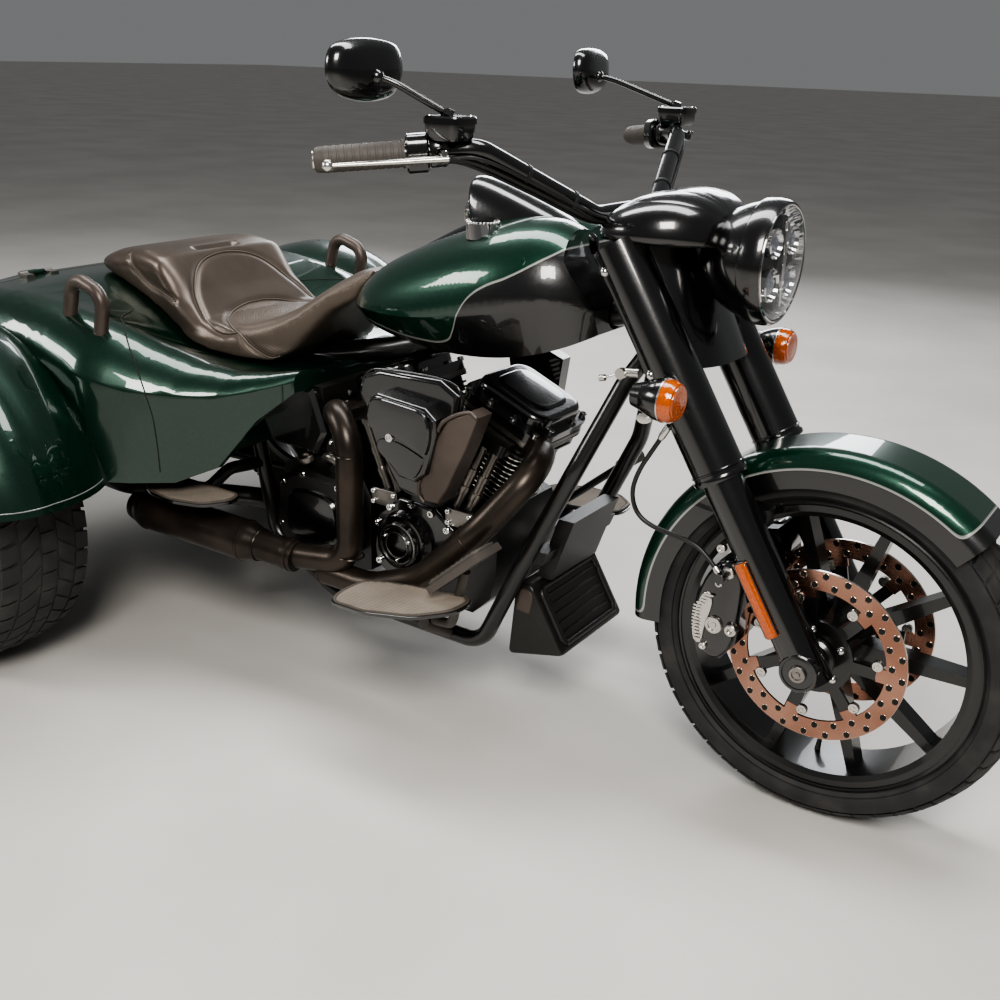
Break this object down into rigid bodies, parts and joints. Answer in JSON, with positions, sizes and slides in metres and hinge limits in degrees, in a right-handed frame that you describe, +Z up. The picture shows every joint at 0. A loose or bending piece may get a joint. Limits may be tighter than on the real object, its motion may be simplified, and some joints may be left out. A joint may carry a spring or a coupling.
{
  "type": "motorized trike",
  "caption": "Three-wheeled touring motorcycle with a V-twin engine, turning fork, sprung rear axle, saddle, wide rear body and a hinged trunk lid.",
  "frame": {"origin": "on the floor under the middle of the whole vehicle", "axes": "+X forward, +Y to the rider's left, +Z up"},
  "size_m": [2.638, 1.394, 1.241],
  "materials": {
    "body_paint": "deep green metallic gloss",
    "black_gloss": "gloss black",
    "black_plastic": "satin black plastic",
    "bronze_plastic": "satin bronze",
    "clear_lens": "clear",
    "red_lens": "red, clear gloss",
    "amber_lens": "amber, clear gloss",
    "rubber": "satin ribbed rubber",
    "tyre": "matt",
    "disc_steel": "brushed, warm tint",
    "caliper_black": "satin black",
    "axle_steel": "satin",
    "belt": "matt ribbed",
    "hose_rubber": "satin",
    "engine_black": "wrinkle black",
    "satin_steel": "satin",
    "exhaust_satin": "satin black-bronze",
    "chrome": "polished",
    "seat_leather": "satin grained",
    "board_rubber": "ribbed rubber"
  },
  "bodies": {
    "chassis": {"air_cleaner": "engine_black", "battery_box": "black_plastic", "belt_drive": "belt", "brake_pedal": "board_rubber", "cam_cover": "engine_black", "chin_cover": "black_plastic", "crankcase": "engine_black", "cylinder_heads": "engine_black", "cylinders": "engine_black", "exhaust": "exhaust_satin", "filler_cap": "chrome", "floorboard_brackets": "black_gloss", "floorboards": "board_rubber", "frame": "black_gloss", "fuel_tank": "body_paint", "gear_shifter": "black_gloss", "gearbox": "engine_black", "grab_handles": "bronze_plastic", "horn_cover": "black_gloss", "intake_wedge": "bronze_plastic", "left_muffler": "exhaust_satin", "lid_hinges": "axle_steel", "oil_cooler": "black_plastic", "plate_bracket": "black_gloss", "primary_cover": "engine_black", "pushrod_tubes": "satin_steel", "rear_axle": "axle_steel", "rear_body": "body_paint", "rear_suspension": "black_gloss", "rocker_covers": "engine_black", "seat": "seat_leather", "side_covers": "black_gloss", "tail_lamps": "red_lens", "tank_console": "black_gloss"},
    "fork": {"triple_clamps": "black_gloss", "fork_covers": "black_gloss", "fork_sliders": "black_gloss", "front_axle": "axle_steel", "front_calipers": "caliper_black", "front_fender": "body_paint", "amber_lenses": "amber_lens", "front_signals": "black_gloss", "headlamp_bucket": "black_gloss", "headlamp_lens": "clear_lens", "fork_cowl": "black_gloss", "handlebar": "black_gloss", "grips": "rubber", "hand_controls": "black_gloss", "mirrors": "black_gloss", "brake_hose": "hose_rubber"},
    "front_wheel_body": {"front_wheel": "black_gloss", "front_tyre": "tyre", "front_discs": "disc_steel"},
    "rear_wheel_right_body": {"rear_wheel_right": "black_gloss", "rear_tyre_right": "tyre"},
    "rear_wheel_left_body": {"rear_wheel_left": "black_gloss", "rear_tyre_left": "tyre"},
    "lid": {"trunk_lid": "body_paint"}
  },
  "joints": [
    {"name": "steering", "type": "hinge", "parent": "chassis", "child": "fork", "pos_m": [0.62102, 0, 0.98], "axis": [-0.4384, 0, 0.8988], "range_deg": [-32, 32]},
    {"name": "front_wheel_spin", "type": "hinge", "parent": "fork", "child": "front_wheel_body", "pos_m": [1, 0, 0.319], "axis": [0, 1, 0], "continuous": true},
    {"name": "rear_wheel_right_spin", "type": "hinge", "parent": "chassis", "child": "rear_wheel_right_body", "pos_m": [-0.67, -0.56, 0.324], "axis": [0, 1, 0], "continuous": true},
    {"name": "rear_wheel_left_spin", "type": "hinge", "parent": "chassis", "child": "rear_wheel_left_body", "pos_m": [-0.67, 0.56, 0.324], "axis": [0, 1, 0], "continuous": true},
    {"name": "trunk_lid_hinge", "type": "hinge", "parent": "chassis", "child": "lid", "pos_m": [-0.748, 0, 0.751], "axis": [0, 1, 0], "range_deg": [0, 65]}
  ]
}
